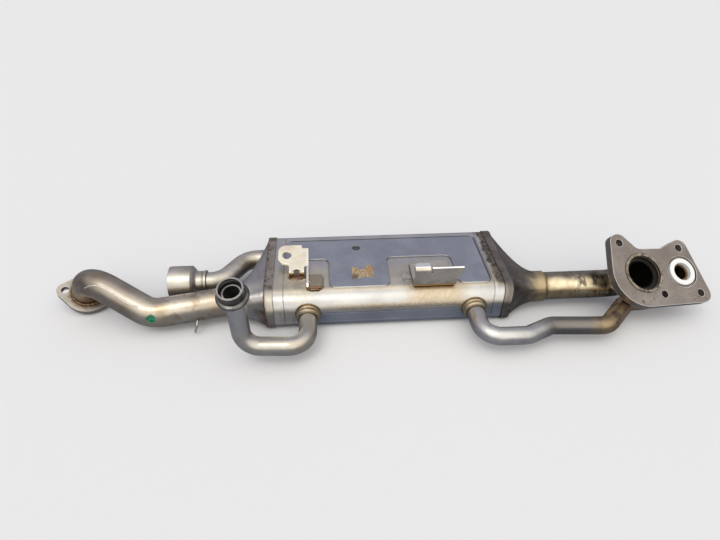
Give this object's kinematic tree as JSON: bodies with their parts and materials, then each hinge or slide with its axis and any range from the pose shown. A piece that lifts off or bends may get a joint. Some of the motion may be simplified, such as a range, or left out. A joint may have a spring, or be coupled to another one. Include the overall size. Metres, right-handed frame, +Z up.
{
  "type": "exhaust gas recirculation cooler",
  "caption": "Welded sheet steel exhaust gas recirculation cooler: flat box casing with end cones, bent gas pipes with flanges, coolant tubes, branch socket and mounting brackets.",
  "frame": {"origin": "centre of the flat panel under the casing", "axes": "+X from the outlet end to the inlet end along the casing, +Z up, -Y towards the coolant ports"},
  "size_m": [0.7616, 0.1809, 0.1021],
  "materials": {
    "casing_steel": "satin stainless sheet with stains",
    "bracket_steel": "pressed stainless sheet, heat tinted at the welds",
    "header_steel": "stainless sheet with burnt weld and rust",
    "core_steel": "thin stainless strip",
    "hot_steel": "stainless, bronze heat tint",
    "pipe_steel": "stainless tube, straw heat tint",
    "coolant_steel": "stainless tube, bright",
    "flange_steel": "machined plate, dull brown grey",
    "seal_white": "white ring"
  },
  "bodies": {
    "root": {"upper_shell": "casing_steel", "lower_shell": "casing_steel", "eye_bracket": "bracket_steel", "stay_bracket": "bracket_steel", "locating_hook": "bracket_steel", "coolant_inlet_collar": "bracket_steel", "coolant_outlet_collar": "bracket_steel", "inlet_header": "header_steel", "outlet_header": "header_steel", "gas_tube_1": "core_steel", "gas_tube_2": "core_steel", "gas_tube_3": "core_steel", "gas_tube_4": "core_steel", "gas_tube_5": "core_steel", "gas_fin_1": "core_steel", "gas_fin_2": "core_steel", "gas_fin_3": "core_steel", "gas_fin_4": "core_steel", "gas_fin_5": "core_steel", "inlet_cone": "hot_steel", "inlet_pipe": "hot_steel", "outlet_cone": "pipe_steel", "outlet_pipe": "pipe_steel", "branch_pipe": "pipe_steel", "branch_socket": "pipe_steel", "coolant_inlet_tube": "coolant_steel", "coolant_outlet_tube": "coolant_steel", "hose_nipple": "coolant_steel", "inlet_flange": "flange_steel", "outlet_flange": "flange_steel", "gas_seat_ring": "flange_steel", "coolant_seal": "seal_white"}
  },
  "joints": []
}
